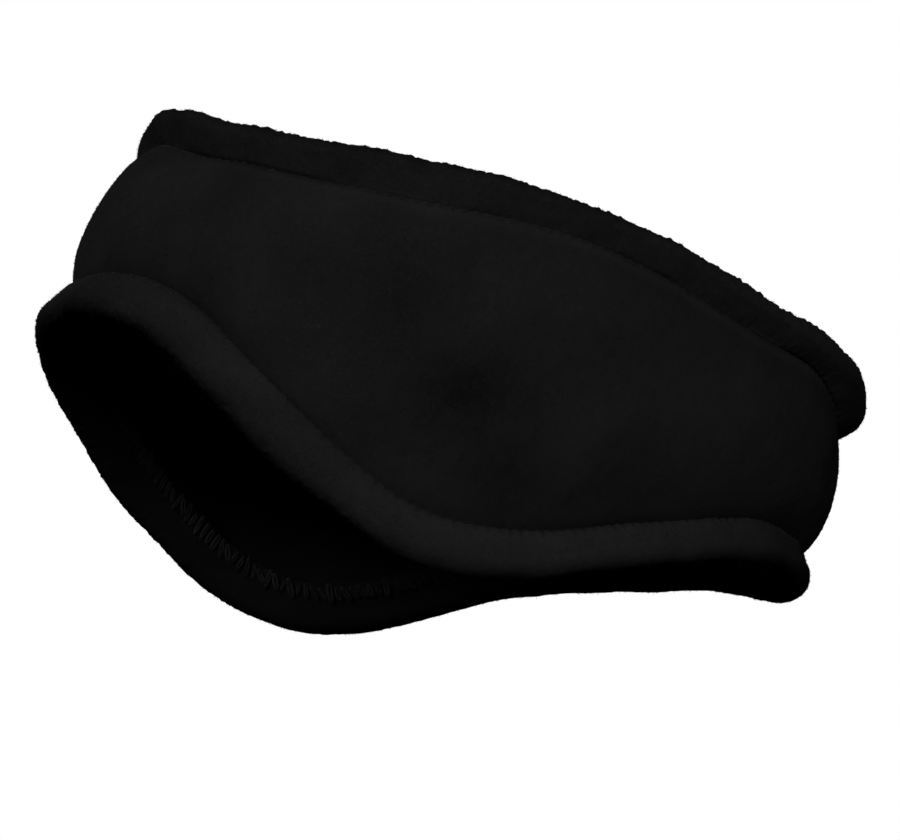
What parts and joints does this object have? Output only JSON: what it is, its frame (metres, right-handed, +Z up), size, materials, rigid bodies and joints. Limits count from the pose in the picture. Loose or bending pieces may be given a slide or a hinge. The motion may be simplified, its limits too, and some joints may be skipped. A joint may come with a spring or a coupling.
{
  "type": "fleece headband",
  "caption": "Black fleece headband in its worn form: a bulging panel with an ear lobe on each side, and a puffy folded hem along its top and bottom edges.",
  "frame": {"origin": "the middle of the head opening, level with the mean of the middles of the forehead part and the back part", "axes": "-Y is the forehead and +Y the back of the head, +X is the wearer's left ear, +Z is up through the top of the head"},
  "size_m": [0.168, 0.2008, 0.1029],
  "materials": {
    "panel_fleece": "short brushed pile, matt, with a faint soft sheen at grazing angles",
    "hem_fleece": "the same fleece folded over, its pile pressed a little smoother by the fold",
    "stitch_thread": "black sewing thread, slightly glossier than the fleece"
  },
  "bodies": {
    "root": {"band_panel": "panel_fleece", "top_hem": "hem_fleece", "bottom_hem": "hem_fleece"}
  },
  "joints": []
}
